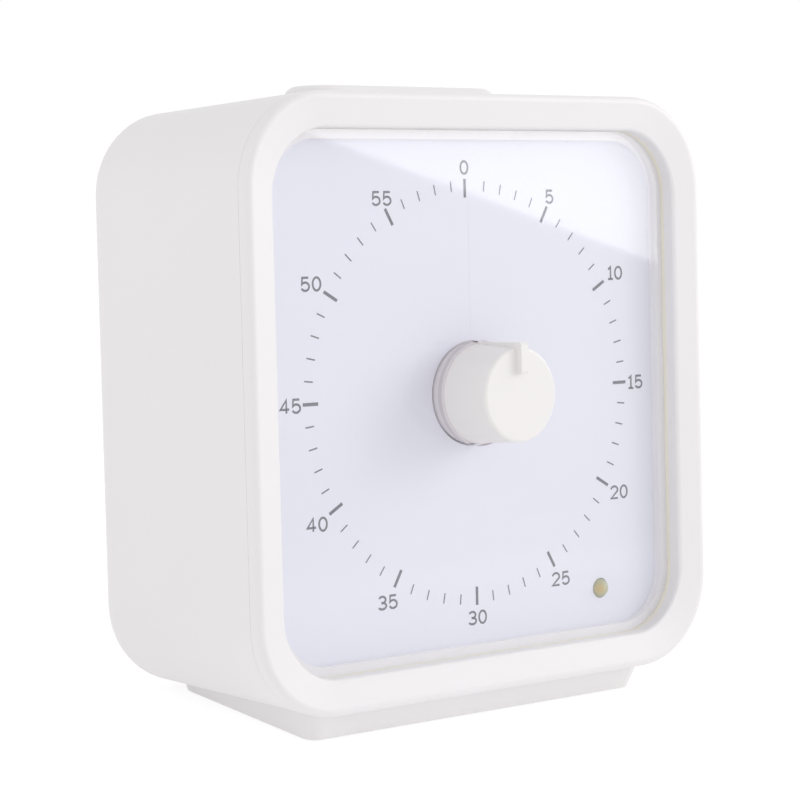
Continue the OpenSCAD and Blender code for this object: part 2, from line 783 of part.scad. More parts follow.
module movement_lid() color([0.3, 0.31, 0.33]) {
    hw = (movement_right - movement_left) / 2;
    hh = (movement_high - movement_low) / 2;
    difference() {
        slab(movement_back, lid_z) translate([movement_left + hw, movement_low + hh]) rounded_rect(hw, hh, 2);
        rod(spindle_d / 2 + run, movement_back - over, lid_z + over);
        translate([mid_x, 0, 0]) rod(pin_r + slip, lid_z - 0.6, lid_z + over);
        translate([rotor_x, rotor_y, 0]) rod(0.5 + run, lid_z - 0.6, lid_z + over);
        for (p = movement_screw_at) translate(p)
            rod(small_screw_d / 2 + 0.1, movement_back - over, lid_z + over);
    }
}

module movement_screws() color(steel) for (p = movement_screw_at) translate([p[0], p[1], movement_back])
    screw(small_screw_d - 0.45, movement_h + plate_floor - 0.2, small_head_r, 1);

// ---- Electronics ----

module circuit_board() color([0.1, 0.4, 0.22]) slab(board_back, board_front) difference() {
    translate([-board_w / 2, board_low]) square([board_w, board_top - board_low]);
    for (p = board_post_at) translate(p) circle(small_screw_d / 2 + 0.1);
    for (s = [-1, 1]) translate([led_x + s * lead_pitch / 2, -led_down]) circle(lead_r + 0.15);
}

// The timer chip, a capacitor and the crystal, behind the board
module board_chips() {
    color([0.12, 0.12, 0.13]) translate([chip_at[0], chip_at[1], board_back - chip[2]]) cube(chip);
    color([0.15, 0.16, 0.3]) translate(capacitor_at) rod(capacitor_r, board_back - capacitor_h, board_back);
    color(steel) translate([crystal_at[0], crystal_at[1], board_back - crystal[2]]) cube(crystal);
}

module board_screws() color(steel) for (p = board_post_at) translate([p[0], p[1], board_back])
    screw(small_screw_d - 0.45, board_t + small_grip, small_head_r, small_head_t);

module indicator_led() translate([led_x, -led_down, 0]) {
    r = led_d / 2;
    tip = lens_back - 0.25;
    base = plate_back - 1.8;
    color([0.83, 0.74, 0.42]) {
        rod(r, base, tip - r);
        intersection() {
            translate([0, 0, tip - r]) sphere(r);
            rod(r, tip - r - slip, tip);
        }
        rod(r + 0.4, base, base + 0.9);
    }
    color(steel) for (s = [-1, 1]) translate([s * lead_pitch / 2, 0, 0])
        rod(lead_r, board_back - 1, base + slip);
}

module led_spacer() color([0.95, 0.95, 0.95]) translate([led_x, -led_down, 0])
    slab(board_front, plate_back - 1.8) difference() {
        circle(lead_pitch / 2 + lead_r + 1);
        circle(lead_pitch / 2 + lead_r + 0.1);
    }

module button_switch() color([0.14, 0.14, 0.15]) difference() {
    translate([-3.2, board_top - 4, board_back - 4.2]) cube([6.4, 4, 4.2]);
    rotate([-90, 0, 0]) translate([0, -stem_z, 0]) rod(1.3, board_top - 2.6, board_top + over);
}

module switch_plunger() color([0.9, 0.9, 0.9])
    rotate([-90, 0, 0]) translate([0, -stem_z, 0]) rod(1.1, board_top - 1.6, board_top + plunger_up);

// Pill shape with a rounded top and a retaining flange
module button_solid() {
    r = button_w / 2;
    run_half = button_len / 2 - r;
    top = top_at_button + button_proud;
    edge = 2;
    translate([0, 0, button_z]) rotate([-90, 0, 0]) {
        for (s = [-1, 1]) translate([s * run_half, 0, 0]) rotate_extrude() {
            translate([0, flange_top - slip]) square([r, top - edge - flange_top + slip]);
            translate([0, flange_top]) square([r - edge, top - flange_top]);
            translate([r - edge, top - edge]) circle(edge);
        }
        rotate([90, 0, 90]) linear_extrude(2 * run_half, center = true) {
            translate([-r, flange_top - slip]) square([2 * r, top - edge - flange_top + slip]);
            translate([edge - r, flange_top]) square([2 * (r - edge), top - flange_top]);
            for (s = [-1, 1]) translate([s * (r - edge), top - edge]) circle(edge);
        }
        slab(flange_top - flange_t, flange_top) rounded_rect(button_len / 2 + 1.3, r + 1.3, r + 1.2);
    }
}

module top_button() color(white) {
    hollow = button_w / 2 - button_wall;
    roof = top_at_button + button_proud - button_wall;
    difference() {
        button_solid();
        translate([0, 0, button_z]) rotate([-90, 0, 0]) slab(flange_top - 2 * flange_t, roof)
            rounded_rect(button_len / 2 - button_wall, hollow, hollow - slip);
    }
    // stem that reaches down to the switch, on a cross of ribs
    translate([0, 0, button_z]) rotate([-90, 0, 0]) {
        translate([0, button_z - stem_z, 0]) rod(2, board_top + plunger_up, roof + slip);
        slab(flange_top - flange_t, roof + slip) {
            square([button_len - 2 * button_wall + slip, 1], center = true);
            square([1, 2 * hollow + slip], center = true);
        }
    }
}

module volume_switch() color(steel) translate([slider_x, slider_y, 0]) difference() {
    slab(inner_rear, inner_rear + switch_t) square([switch_w, switch_h], center = true);
    slab(inner_rear - over, inner_rear + switch_hollow) square([slot_w + 1.2, slot_h], center = true);
}

module volume_slider() color([0.2, 0.2, 0.21]) translate([slider_x, slider_y, 0]) {
    slab(rear_z + 0.2, inner_rear + 1.5) square(slider_nub, center = true);
    slab(rear_z - 0.4, rear_z + 0.2 + slip) difference() {
        square(slider_nub, center = true);
        for (x = [-0.8, 0, 0.8]) translate([x, 0]) square([0.35, 4], center = true);
    }
}

module buzzer() color([0.13, 0.13, 0.14]) translate([buzzer_x, buzzer_y, 0]) difference() {
    rod(buzzer_d / 2, inner_rear + 0.05, inner_rear + buzzer_t);
    rod(buzzer_port_r, inner_rear - over, inner_rear + 1.2);
}

module battery_cells() for (s = [-1, 1]) {
    body_len = cell_len - 1;
    translate([0, bay_y + s * (cell_d + cell_gap) / 2, cell_z]) rotate([0, 90 * s, 0]) {
        color([0.25, 0.27, 0.3]) rod(cell_d / 2, -cell_len / 2, -cell_len / 2 + body_len);
        color(steel) rod(cell_nub_r, -cell_len / 2 + body_len - slip, cell_len / 2);
    }
}

// Plates at the bay's ends, each with a bowed leaf for a minus end and a dimple for a plus end
module battery_contacts() color(steel) {
    plate = 0.4;
    reach = contact_room - plate;
    chord = cell_d / 2 - 1.5;
    bow_r = (chord * chord + reach * reach) / (2 * reach);
    for (s = [-1, 1], side = [-1, 1])
        translate([side * bay_w / 2, bay_y + s * (cell_d + cell_gap) / 2, cell_z])
        mirror([side > 0 ? 1 : 0, 0, 0]) {
            translate([plate / 2, 0, 0]) cube([plate, cell_d - 2, cell_d - 2], center = true);
            if (side == s) rotate([0, 90, 0]) rod(2.6, plate - slip, contact_room);
            else rotate([90, 0, 0]) linear_extrude(4, center = true) intersection() {
                translate([contact_room - bow_r, 0]) difference() {
                    circle(bow_r);
                    circle(bow_r - plate);
                }
                translate([plate - slip, -cell_d / 2]) square([contact_room, cell_d]);
            }
        }
}

module battery_door() color(white) {
    hw = door_half_w - door_gap;
    hh = door_half_h - door_gap;
    rib = 1.6;
    translate([0, bay_y, 0]) difference() {
        union() {
            slab(rear_z, rear_z + door_t) rounded_rect(hw, hh, door_corner_r - door_gap);
            slab(rear_z + door_t - slip, bay_open)
                rounded_rect(bay_w / 2 - door_gap, bay_h / 2 - door_gap, 0.5);
        }
        // underside cored out between its ribs
        slab(rear_z + door_t, bay_open + over) for (x = [-1, 1])
            translate([x * bay_w / 4, 0])
            square([bay_w / 2 - 2 * rib, bay_h - 2 * rib - 2 * door_gap], center = true);
        // slots that free the latch, and its finger grip
        for (x = [-1, 1]) translate([x * 6, hh - 5, rear_z - over]) linear_extrude(2 * over + rear_wall)
            translate([-0.4, 0]) square([0.8, 5 + over]);
        translate([0, hh, rear_z]) sphere(r = 2.6);
        // grip ridges
        for (i = [0:3]) translate([0, hh - 4.6 - 1.4 * i, rear_z])
            cube([8, 0.6, 0.6], center = true);
    }
}

// ---- Fasteners and pads ----

module case_screws() color(steel) at_corners(post_at) translate([0, 0, post_meet - tube_floor])
    screw(case_screw_d - 0.65, case_screw_len, screw_head_r, screw_head_t);

module plate_screws() color(steel) at_corners(plate_screw_at)
    translate([0, 0, plate_back + plate_head_depth])
    screw(small_screw_d - 0.45, plate_screw_len, small_head_r, small_head_t);

module foot_pads() color([0.8, 0.8, 0.79]) pad_places() rod(pad_d / 2, -pad_recess, pad_proud);

// ---- Standing position ----

// The knob's lower edge is furthest forward, the case's top rear edge furthest back
front_reach = (knob_face - knob_edge) * cos(lean) + knob_edge_c * sin(lean) + knob_edge;
rear_edge_up = side_at(rear_z + rear_edge_r) - rear_edge_r / cos(case_draft);
rear_reach = (case_depth - rear_edge_r) * cos(lean) + rear_edge_up * sin(lean) + rear_edge_r;
stand_h = foot_drop * cos(lean) - foot_front_z * sin(lean) + pad_proud;

module stood_up() translate([0, (front_reach - rear_reach) / 2, stand_h]) rotate([90 - lean, 0, 0]) children();

stood_up() rear_shell();
stood_up() front_bezel();
stood_up() lens();
stood_up() lens_tape();
stood_up() dial_sheet();
stood_up() dial_plate();
stood_up() time_disc();
stood_up() disc_hub();
stood_up() disc_clamp();
stood_up() knob();
stood_up() spindle();
stood_up() spindle_gear();
stood_up() clutch_spring();
stood_up() retaining_clip();
stood_up() intermediate_gear();
stood_up() gear_pin();
stood_up() motor_rotor();
stood_up() motor_stator();
stood_up() motor_coil();
stood_up() movement_case();
stood_up() movement_lid();
stood_up() movement_screws();
stood_up() circuit_board();
stood_up() board_chips();
stood_up() board_screws();
stood_up() indicator_led();
stood_up() led_spacer();
stood_up() button_switch();
stood_up() switch_plunger();
stood_up() top_button();
stood_up() volume_switch();
stood_up() volume_slider();
stood_up() buzzer();
stood_up() battery_cells();
stood_up() battery_contacts();
stood_up() battery_door();
stood_up() case_screws();
stood_up() plate_screws();
stood_up() foot_pads();
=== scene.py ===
import json
import math

import bpy
from mathutils import Matrix, Vector


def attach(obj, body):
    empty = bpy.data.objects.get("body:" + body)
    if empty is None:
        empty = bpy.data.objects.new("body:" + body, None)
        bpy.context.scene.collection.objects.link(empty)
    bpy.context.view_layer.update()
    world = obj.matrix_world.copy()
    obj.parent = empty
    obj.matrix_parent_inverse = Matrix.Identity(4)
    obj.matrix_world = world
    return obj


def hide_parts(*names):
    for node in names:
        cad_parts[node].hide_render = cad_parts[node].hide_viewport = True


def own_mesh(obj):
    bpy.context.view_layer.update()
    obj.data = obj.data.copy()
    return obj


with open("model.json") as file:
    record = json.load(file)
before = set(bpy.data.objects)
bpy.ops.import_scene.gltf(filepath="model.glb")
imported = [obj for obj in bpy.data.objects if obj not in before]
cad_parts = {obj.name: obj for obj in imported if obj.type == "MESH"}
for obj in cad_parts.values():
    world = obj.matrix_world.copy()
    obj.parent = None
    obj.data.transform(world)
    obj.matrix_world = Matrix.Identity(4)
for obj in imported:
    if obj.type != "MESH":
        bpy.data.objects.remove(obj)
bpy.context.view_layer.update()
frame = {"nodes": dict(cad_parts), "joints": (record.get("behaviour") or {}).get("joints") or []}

# ---- Camera ----
# It looks at the dial from the left and a little above. The dial leans back with the
# case, so places on it are given as right, up and out of the dial, in millimetres.

MM = 0.001
CAMERA_PLACE = (-263.75, 22.44, 303.63)
CAMERA_AIM = (-13.6, -0.33, 0.0)
CAMERA_ROLL = -1.44
CAMERA_LENS = 120.33
CAMERA_SENSOR = 36.0

knob_joint = next(joint for joint in frame["joints"] if joint["name"] == "knob_turn")
dial_middle = Vector(knob_joint["pos_m"])
dial_out = -Vector(knob_joint["axis"]).normalized()
dial_right = Vector((1, 0, 0))
dial_up = dial_out.cross(dial_right).normalized()


def on_dial(right, up, out=0.0):
    """The point that many millimetres right of, up from and out of the dial's middle."""
    return dial_middle + (dial_right * right + dial_up * up + dial_out * out) * MM


eye = on_dial(*CAMERA_PLACE)
ahead = (on_dial(*CAMERA_AIM) - eye).normalized()
level = ahead.cross(dial_up).normalized()
camera_right = Matrix.Rotation(-math.radians(CAMERA_ROLL), 3, ahead) @ level
camera_up = camera_right.cross(ahead)

camera_data = bpy.data.cameras.new("product camera")
camera_data.lens = CAMERA_LENS
camera_data.sensor_width = CAMERA_SENSOR
camera = bpy.data.objects.new("product camera", camera_data)
camera.matrix_world = Matrix((camera_right, camera_up, -ahead)).transposed().to_4x4()
camera.matrix_world.translation = eye
bpy.context.scene.collection.objects.link(camera)
bpy.context.scene.camera = camera

# ---- Case: shell, bezel, top button and battery door ----
# Injection-moulded white ABS from one tool set. The bezel is glued into the shell's
# front edge, the button drops into its slot and the door snaps into the back.

CASE_WHITE = "#EFEDEF"
CASE_WHITE_WARM = "#EDEAEA"
CASE_GRAIN = 0.35
CASE_FLOW = 22.0
CASE_ROUGHNESS = 0.42
CASE_GRAIN_DEPTH = 0.012
GLOSS_SPREAD = 0.04
# Nearly all of a noise texture lies between these two values
NOISE_LOW = 0.3
NOISE_HIGH = 0.7


def linear(hex_colour):
    """The linear RGBA of an sRGB hex colour."""
    shares = [int(hex_colour[i:i + 2], 16) / 255 for i in (1, 3, 5)]
    return [s / 12.92 if s <= 0.04045 else ((s + 0.055) / 1.055) ** 2.4 for s in shares] + [1.0]


def add(tree, kind, links=None, **settings):
    """Adds a node to a tree. links gives its inputs, each a value or a socket that feeds it."""
    made = tree.nodes.new(kind)
    for name, value in settings.items():
        setattr(made, name, value)
    for name, value in (links or {}).items():
        if isinstance(value, bpy.types.NodeSocket):
            tree.links.new(value, made.inputs[name])
        else:
            made.inputs[name].default_value = value
    return made


def new_material(name):
    """An empty node material and its tree."""
    made = bpy.data.materials.new(name)
    made.use_nodes = True
    made.node_tree.nodes.clear()
    return made, made.node_tree


def per_mm(size):
    """Scale of a texture whose features are that many millimetres apart."""
    return 1 / (size * MM)


def dress(material, *nodes):
    """Gives CAD nodes this material."""
    for name in nodes:
        mesh = frame["nodes"][name].data
        mesh.materials.clear()
        mesh.materials.append(material)


def moulded(name, colour, other_colour, grain, flow, roughness, depth, ior=1.53):
    """Moulded plastic: two close shades from the melt's flow, and a fine spark-eroded grain.
    The grain, the flow and the grain's depth are in millimetres."""
    material, tree = new_material(name)
    place = add(tree, "ShaderNodeTexCoord").outputs["Object"]
    clouds = add(tree, "ShaderNodeTexNoise", {
        "Vector": place, "Scale": per_mm(flow), "Detail": 2.0})
    grains = add(tree, "ShaderNodeTexNoise", {
        "Vector": place, "Scale": per_mm(grain), "Detail": 3.0})
    shade = add(tree, "ShaderNodeMix", {
        "Factor": clouds.outputs["Fac"], "A": linear(colour), "B": linear(other_colour)},
        data_type="RGBA")
    gloss = add(tree, "ShaderNodeMapRange", {
        "Value": grains.outputs["Fac"], "From Min": NOISE_LOW, "From Max": NOISE_HIGH,
        "To Min": roughness - GLOSS_SPREAD, "To Max": roughness + GLOSS_SPREAD})
    bump = add(tree, "ShaderNodeBump", {
        "Height": grains.outputs["Fac"], "Distance": depth * MM, "Strength": 1.0})
    surface = add(tree, "ShaderNodeBsdfPrincipled", {
        "Base Color": shade.outputs["Result"], "Roughness": gloss.outputs["Result"],
        "Normal": bump.outputs["Normal"], "IOR": ior})
    add(tree, "ShaderNodeOutputMaterial", {"Surface": surface.outputs["BSDF"]})
    return material


# Satin ABS: broad soft highlights on an even white. The real spark-eroded grain is about
# 0.05 mm, and it is drawn coarser so that it shows.
dress(moulded("white ABS, satin", CASE_WHITE, CASE_WHITE_WARM, CASE_GRAIN, CASE_FLOW,
              CASE_ROUGHNESS, CASE_GRAIN_DEPTH),
      "rear_shell", "front_bezel", "top_button", "battery_door")

# ---- Foot pads ----
# Four discs of pale soft rubber, stuck into shallow recesses under the foot. The
# surface is matt, with the fine bloom that moulded rubber has.

# Soft rubber: no highlight, and a dull bloom drawn at half a millimetre
dress(moulded("pale rubber", "#CFCFCC", "#C6C6C4", 0.5, 3.0, 0.75, 0.03, 1.52), "foot_pads")

# ---- Battery cells and contacts ----
# Two AA cells with plain shrink jackets, between nickel-plated steel plates that have a
# bowed leaf at each minus end.

CELL_JACKET = "#3C4148"
CELL_LENGTH = 50.5
NUB_LENGTH = 1.0
JACKET_LIP = 0.02
WRINKLE_DEPTH = 0.02
NICKEL = "#C9CACC"
LINE_DEPTH = 0.002


def bare_metal(name, colour, roughness, line_gap, along):
    """Bright metal with the fine lines that rolling or turning leaves, closest across one axis.
    The gap between its lines is in millimetres."""
    material, tree = new_material(name)
    place = add(tree, "ShaderNodeTexCoord").outputs["Object"]
    stretched = add(tree, "ShaderNodeMapping", {"Vector": place, "Scale": along})
    lines = add(tree, "ShaderNodeTexNoise", {
        "Vector": stretched.outputs["Vector"], "Scale": per_mm(line_gap), "Detail": 3.0})
    gloss = add(tree, "ShaderNodeMapRange", {
        "Value": lines.outputs["Fac"], "From Min": NOISE_LOW, "From Max": NOISE_HIGH,
        "To Min": roughness - 0.06, "To Max": roughness + 0.08})
    bump = add(tree, "ShaderNodeBump", {
        "Height": lines.outputs["Fac"], "Distance": LINE_DEPTH * MM, "Strength": 1.0})
    surface = add(tree, "ShaderNodeBsdfPrincipled", {
        "Base Color": linear(colour), "Metallic": 1.0, "Roughness": gloss.outputs["Result"],
        "Normal": bump.outputs["Normal"]})
    add(tree, "ShaderNodeOutputMaterial", {"Surface": surface.outputs["BSDF"]})
    return material


# Nickel plate: a bright blurred sheen, drawn out along the rolled strip
rolled_steel = bare_metal("nickel-plated steel, rolled", NICKEL, 0.3, 0.4, (1, 6, 1))
dress(rolled_steel, "battery_contacts")

# Shrink film: glossy and dark, slightly wrinkled, with bare steel at both ends
cell_material, tree = new_material("shrink jacket and steel caps")
place = add(tree, "ShaderNodeTexCoord").outputs["Object"]
across = add(tree, "ShaderNodeSeparateXYZ", {"Vector": place}).outputs["X"]
reach = add(tree, "ShaderNodeMath", {0: across}, operation="ABSOLUTE").outputs["Value"]
cap = add(tree, "ShaderNodeMath", {
    0: reach, 1: (CELL_LENGTH / 2 - NUB_LENGTH + JACKET_LIP) * MM},
    operation="GREATER_THAN").outputs["Value"]
wrinkle = add(tree, "ShaderNodeTexNoise", {"Vector": place, "Scale": per_mm(1.5), "Detail": 2.0})
jacket_bump = add(tree, "ShaderNodeBump", {
    "Height": wrinkle.outputs["Fac"], "Distance": WRINKLE_DEPTH * MM})
jacket = add(tree, "ShaderNodeBsdfPrincipled", {
    "Base Color": linear(CELL_JACKET), "Roughness": 0.28, "Normal": jacket_bump.outputs["Normal"],
    "IOR": 1.54})
steel_cap = add(tree, "ShaderNodeBsdfPrincipled", {
    "Base Color": linear(NICKEL), "Metallic": 1.0, "Roughness": 0.3})
both = add(tree, "ShaderNodeMixShader", {
    0: cap, 1: jacket.outputs["BSDF"], 2: steel_cap.outputs["BSDF"]})
add(tree, "ShaderNodeOutputMaterial", {"Surface": both.outputs["Shader"]})
dress(cell_material, "battery_cells")

# ---- Buzzer, volume switch and slider ----
# A black piezo buzzer pressed into its ring behind the sound holes, and a slide switch
# in a folded steel cage with a black nylon nub.

# Nylon: near black with a weak satin highlight
black_nylon = moulded("black nylon", "#26262A", "#2B2B2F", 0.4, 6.0, 0.5, 0.012)
dress(black_nylon, "buzzer", "volume_slider", "button_switch", "switch_plunger")
dress(rolled_steel, "volume_switch")

# ---- Circuit board ----
# Glass-epoxy laminate under a green solder mask, with the weave just showing in the
# gloss, and black moulded parts soldered on.

# Solder mask: deep green under a gloss that the glass weave makes uneven. Epoxy mouldings:
# matt black.
dress(moulded("green solder mask", "#1F5B35", "#1B5230", 0.6, 5.0, 0.3, 0.006, 1.55),
      "circuit_board")
dress(moulded("black epoxy", "#1D1D20", "#222226", 0.3, 3.0, 0.55, 0.01), "board_chips")

# ---- Indicator LED and its spacer ----
# A 3 mm LED cast in amber-tinted epoxy. It stands on a white spacer tube and looks out
# through its round window in the dial.

LED_MIDDLE = (25.7, -32.1)
LED_CUP_LEFT = 1.0
LED_CUP_OUT = 1.0
LED_PAINTED_CUP = "#C6AE74"
LED_OLIVE = "#B4B28E"
LED_OLIVE_STARTS = 0.4
LED_OLIVE_ENDS = 1.3
LED_GREY = "#B6B2A8"
LED_GREY_STARTS = 1.4
LED_GREY_ENDS = 2.4
LED_POLISH = (0.15, 0.25)

# The dome's look from the left is painted on it: the amber cup, seen through the left of the dome,
# is a painted reflection, with olive at its rim and grey at the right
led_material, tree = new_material("tinted epoxy")
place = add(tree, "ShaderNodeTexCoord").outputs["Object"]
cup = on_dial(LED_MIDDLE[0] - LED_CUP_LEFT, LED_MIDDLE[1], LED_CUP_OUT)
from_cup = add(tree, "ShaderNodeVectorMath", {0: place, 1: tuple(cup)}, operation="SUBTRACT")
cup_away = add(tree, "ShaderNodeVectorMath", {0: from_cup.outputs["Vector"]}, operation="LENGTH")
cup_right = add(tree, "ShaderNodeVectorMath", {
    0: from_cup.outputs["Vector"], 1: tuple(dial_right)}, operation="DOT_PRODUCT")
olive_share = add(tree, "ShaderNodeMapRange", {
    "Value": cup_away.outputs["Value"],
    "From Min": LED_OLIVE_STARTS * MM, "From Max": LED_OLIVE_ENDS * MM})
grey_share = add(tree, "ShaderNodeMapRange", {
    "Value": cup_right.outputs["Value"],
    "From Min": LED_GREY_STARTS * MM, "From Max": LED_GREY_ENDS * MM})
tint = add(tree, "ShaderNodeMix", {
    "Factor": olive_share.outputs["Result"], "A": linear(LED_PAINTED_CUP), "B": linear(LED_OLIVE)},
    data_type="RGBA")
greyed = add(tree, "ShaderNodeMix", {
    "Factor": grey_share.outputs["Result"], "A": tint.outputs["Result"], "B": linear(LED_GREY)},
    data_type="RGBA")
streaks = add(tree, "ShaderNodeTexNoise", {"Vector": place, "Scale": per_mm(1.2), "Detail": 1.0})
gloss = add(tree, "ShaderNodeMapRange", {
    "Value": streaks.outputs["Fac"], "To Min": LED_POLISH[0], "To Max": LED_POLISH[1]})
epoxy = add(tree, "ShaderNodeBsdfPrincipled", {
    "Base Color": greyed.outputs["Result"], "Roughness": gloss.outputs["Result"], "IOR": 1.55})
add(tree, "ShaderNodeOutputMaterial", {"Surface": epoxy.outputs["BSDF"]})
dress(led_material, "indicator_led")

# ---- Dial plate and movement ----
# The grey ABS plate carries the dial and the board. The movement's dark case holds
# acetal gears on a steel pin, a laminated stator and a copper coil.

# ABS in its greys: satin, darker where it hides the gears. The hub's mauve grey is partly its own
# and partly painted shade, for the shade that lies on it beside the knob, under the lens.
dress(moulded("grey-white ABS", "#D3CFD1", "#CECACC", 0.4, 15.0, 0.45, 0.012), "dial_plate")
dress(moulded("grey ABS", "#E6E0E4", "#E1DBDF", 0.4, 15.0, 0.45, 0.012), "disc_hub")
dress(moulded("dark ABS", "#4B4D52", "#505258", 0.4, 12.0, 0.45, 0.012),
      "movement_case", "movement_lid")
# Natural acetal: waxy, warm white and a little glossier than the ABS
acetal = moulded("acetal", "#F2F0E8", "#EEEBE2", 0.3, 8.0, 0.35, 0.006, 1.48)
dress(acetal, "spindle_gear", "intermediate_gear", "disc_clamp", "led_spacer")
# Turned steel: bright, with fine lines across its length
turned_steel = bare_metal("steel, turned", "#BFC1C4", 0.25, 0.3, (1, 1, 5))
dress(turned_steel, "spindle", "clutch_spring", "retaining_clip", "gear_pin", "motor_stator",
      "movement_screws", "board_screws", "case_screws", "plate_screws")
# Enamelled wire: red-brown metal in fine even turns. The magnet: dull dark grey.
dress(bare_metal("enamelled copper wire", "#C87A4A", 0.3, 0.2, (8, 1, 1)), "motor_coil")
dress(moulded("sintered magnet", "#47474C", "#3E3E43", 0.3, 2.0, 0.55, 0.01), "motor_rotor")

# ---- Colour disc ----
# One turn of thin matt red film, slit from its outer edge to the hub and heat-sealed to a grey
# ring there. It lies wound back behind the dial, its leading edge at the dial's slit behind the
# pointer, and it rides with the knob.

FILM_INNER = 7.62
FILM_RING = 9.2
FILM_OUTER = 28.4
FILM_THICKNESS = 0.15
FILM_STEPS = 144
FILM_PIVOT = 2.75
FILM_KEEP = 0.6
FILM_SUNK = 0.006
FILM_TOOTH = 0.004
FILM_RED = "#D43A2F"
FILM_RED_DEEP = "#CE352B"
FILM_RING_GREY = "#C9C5C8"


def new_piece(name, points, faces, material):
    """A mesh object of these points and faces, in this material."""
    mesh = bpy.data.meshes.new(name)
    mesh.from_pydata(points, [], faces)
    mesh.materials.append(material)
    piece = bpy.data.objects.new(name, mesh)
    bpy.context.scene.collection.objects.link(piece)
    return piece


# Matt film: an even strong red with almost no highlight, on a grey ring. Its real tooth is
# about 0.02 mm and is drawn coarser.
film_material, tree = new_material("polyester film, matt red")
place = add(tree, "ShaderNodeTexCoord").outputs["Object"]
from_axis = add(tree, "ShaderNodeVectorMath", {0: place, 1: tuple(dial_middle)},
                operation="SUBTRACT")
along_axis = add(tree, "ShaderNodeVectorMath", {
    0: from_axis.outputs["Vector"], 1: tuple(dial_out)}, operation="CROSS_PRODUCT")
off_axis = add(tree, "ShaderNodeVectorMath", {0: along_axis.outputs["Vector"]}, operation="LENGTH")
ring = add(tree, "ShaderNodeMath", {0: off_axis.outputs["Value"], 1: FILM_RING * MM},
           operation="LESS_THAN")
clouds = add(tree, "ShaderNodeTexNoise", {"Vector": place, "Scale": per_mm(10.0), "Detail": 2.0})
grains = add(tree, "ShaderNodeTexNoise", {"Vector": place, "Scale": per_mm(0.2), "Detail": 2.0})
red = add(tree, "ShaderNodeMix", {
    "Factor": clouds.outputs["Fac"], "A": linear(FILM_RED), "B": linear(FILM_RED_DEEP)},
    data_type="RGBA")
ringed = add(tree, "ShaderNodeMix", {
    "Factor": ring.outputs["Value"], "A": red.outputs["Result"], "B": linear(FILM_RING_GREY)},
    data_type="RGBA")
bump = add(tree, "ShaderNodeBump", {"Height": grains.outputs["Fac"], "Distance": FILM_TOOTH * MM})
surface = add(tree, "ShaderNodeBsdfPrincipled", {
    "Base Color": ringed.outputs["Result"], "Roughness": 0.5, "Normal": bump.outputs["Normal"],
    "IOR": 1.6})
add(tree, "ShaderNodeOutputMaterial", {"Surface": surface.outputs["BSDF"]})

# Each step lies deeper behind the dial's face, the further round the turn it is
points, faces = [], []
for i in range(FILM_STEPS + 1):
    share = i / FILM_STEPS
    turn = 2 * math.pi * share
    front = FILM_PIVOT * (1 - 1 / (1 - (1 - FILM_KEEP) * share)) - FILM_SUNK
    for r, out in ((FILM_INNER, front), (FILM_OUTER, front),
                   (FILM_OUTER, front - FILM_THICKNESS), (FILM_INNER, front - FILM_THICKNESS)):
        points.append(on_dial(-r * math.sin(turn), r * math.cos(turn), out))
for i in range(FILM_STEPS):
    a, b = 4 * i, 4 * i + 4
    faces += [(a + k, b + k, b + (k + 1) % 4, a + (k + 1) % 4) for k in range(4)]
faces += [(0, 1, 2, 3), tuple(4 * FILM_STEPS + k for k in (3, 2, 1, 0))]
film = new_piece("colour_film", points, faces, film_material)
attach(film, "knob_set")
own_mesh(film)
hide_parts("time_disc")

# ---- Dial sheet and its print ----
# A matt sheet of pale blue-white polypropylene, screen-printed in grey with sixty ticks
# and a number at every fifth one.

DIAL_WHITE = "#E7E6F0"
DIAL_WHITE_COOL = "#E5E5EF"
INK_GREY = "#66666F"
INK_GREY_PALE = "#75757E"
INK_OUT = 0.01
# Where a tick starts and ends from the middle, and its width
LONG_TICK = (29.32, 32.1, 0.5)
SHORT_TICK = (30.35, 31.9, 0.22)
FIGURE_HALF_WIDTH = 0.78
FIGURE_HALF_HEIGHT = 0.94
FIGURE_STROKE = 0.34
FIGURE_STEP = 2.05
FIGURE_STEP_AFTER_ONE = 1.75
ZERO_TICK_LEFT = 0.55
MITRE_LIMIT = 0.5
NUMBER_MIDDLES = {
    0: (-0.6, 33.8), 5: (16.6, 29.3), 10: (30.1, 17.25), 15: (34.1, -0.1),
    20: (30.2, -17.3), 25: (17.3, -29.8), 30: (0.0, -34.0), 35: (-17.4, -29.9),
    40: (-30.05, -17.35), 45: (-34.3, -0.1), 50: (-30.05, 17.2), 55: (-16.65, 29.3)}

# Matt polypropylene: an even cool white. Its tooth is drawn at a quarter of a millimetre.
dress(moulded("polypropylene sheet, matt", DIAL_WHITE, DIAL_WHITE_COOL, 0.25, 25.0, 0.55,
              0.003, 1.49), "dial_sheet")


def arc(middle, radii, start, end, steps=14):
    """Points along part of an ellipse, from one angle in degrees to another."""
    angles = [math.radians(start + (end - start) * i / steps) for i in range(steps + 1)]
    return [(middle[0] + radii[0] * math.cos(a), middle[1] + radii[1] * math.sin(a))
            for a in angles]


# Strokes of each figure, drawn in a box one wide and one high each way from its middle
FIGURES = {
    "0": [arc((0, 0), (0.9, 1), 90, 450, 28)],
    "1": [[(-0.55, 0.6), (0.1, 1), (0.1, -1)], [(-0.6, -1), (0.75, -1)]],
    "2": [arc((0, 0.42), (0.9, 0.58), 170, -28) + [(-0.9, -1), (0.95, -1)]],
    "3": [arc((0, 0.49), (0.82, 0.51), 155, -90) + arc((0, -0.49), (0.95, 0.51), 90, -155)],
    "4": [[(0.35, -1), (0.35, 1), (-1, -0.42), (1, -0.42)]],
    "5": [[(0.75, 1), (-0.66, 1), (-0.8, -0.02)] + arc((-0.02, -0.36), (0.92, 0.64), 140, -155)],
}


